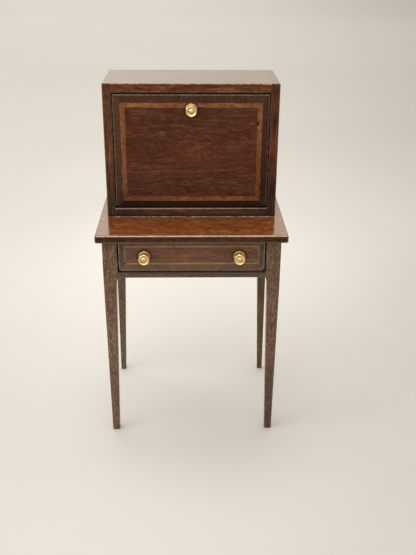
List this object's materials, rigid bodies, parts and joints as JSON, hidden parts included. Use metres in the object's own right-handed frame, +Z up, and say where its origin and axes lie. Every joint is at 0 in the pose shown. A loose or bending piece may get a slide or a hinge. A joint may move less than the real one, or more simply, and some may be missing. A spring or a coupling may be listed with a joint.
{
  "type": "dolls house writing cabinet",
  "caption": "Dolls' house fall-front writing cabinet with inlaid banding and pigeonholes, on a taper-legged table with a drawer and turned brass knobs.",
  "frame": {"origin": "on the floor, below the middle of the whole outline, which runs in Y from the drawer knobs' tips to the table top's back edge", "axes": "+Z up, +X to the right of a person facing the front, -Y out of the front"},
  "size_m": [0.052, 0.0402, 0.1004],
  "materials": {
    "case_wood": "satin lacquer over brown mahogany",
    "field_veneer": "satin lacquer over red-brown mahogany veneer",
    "crossbanding": "satin lacquer over dark crossbanding",
    "band": "satin lacquer over stained satinwood",
    "stringing": "satin lacquer over pale stringing",
    "lining_wood": "plain planed drawer lining",
    "interior_wood": "plain waxed mahogany",
    "brass": "polished turned brass"
  },
  "bodies": {
    "carcass": {"table_top": "case_wood", "leg_front_left": "case_wood", "leg_front_right": "case_wood", "leg_back_left": "case_wood", "leg_back_right": "case_wood", "apron_left": "case_wood", "apron_right": "case_wood", "apron_back": "case_wood", "front_rail": "case_wood", "drawer_runner_left": "lining_wood", "drawer_runner_right": "lining_wood", "drawer_guide_left": "lining_wood", "drawer_guide_right": "lining_wood", "drawer_stop_left": "lining_wood", "drawer_stop_right": "lining_wood", "cabinet_side_left": "case_wood", "cabinet_side_right": "case_wood", "cabinet_top": "case_wood", "cabinet_floor": "case_wood", "cabinet_back": "interior_wood", "fall_stop_strip": "interior_wood", "cabinet_shelf": "interior_wood", "pigeonhole_divider_1": "interior_wood", "pigeonhole_divider_2": "interior_wood", "pigeonhole_divider_3": "interior_wood", "hinge_pin_left": "brass", "hinge_pin_right": "brass"},
    "fall_front": {"fall_panel": "case_wood", "fall_crossbanding_bottom": "crossbanding", "fall_crossbanding_right": "crossbanding", "fall_crossbanding_top": "crossbanding", "fall_crossbanding_left": "crossbanding", "fall_band_bottom": "band", "fall_band_right": "band", "fall_band_top": "band", "fall_band_left": "band", "fall_field_veneer": "field_veneer", "fall_knob": "brass"},
    "drawer": {"drawer_front": "case_wood", "drawer_side_left": "lining_wood", "drawer_side_right": "lining_wood", "drawer_back": "lining_wood", "drawer_bottom": "lining_wood", "drawer_crossbanding_bottom": "crossbanding", "drawer_crossbanding_right": "crossbanding", "drawer_crossbanding_top": "crossbanding", "drawer_crossbanding_left": "crossbanding", "drawer_stringing_bottom": "stringing", "drawer_stringing_right": "stringing", "drawer_stringing_top": "stringing", "drawer_stringing_left": "stringing", "drawer_field_veneer": "field_veneer", "drawer_knob_left": "brass", "drawer_knob_right": "brass"}
  },
  "joints": [
    {"name": "fall_hinge", "type": "hinge", "parent": "carcass", "child": "fall_front", "pos_m": [0, -0.0022, 0.0668], "axis": [1, 0, 0], "range_deg": [0, 90]},
    {"name": "drawer_slide", "type": "slide", "parent": "carcass", "child": "drawer", "axis": [0, -1, 0], "range_m": [0, 0.026]}
  ]
}
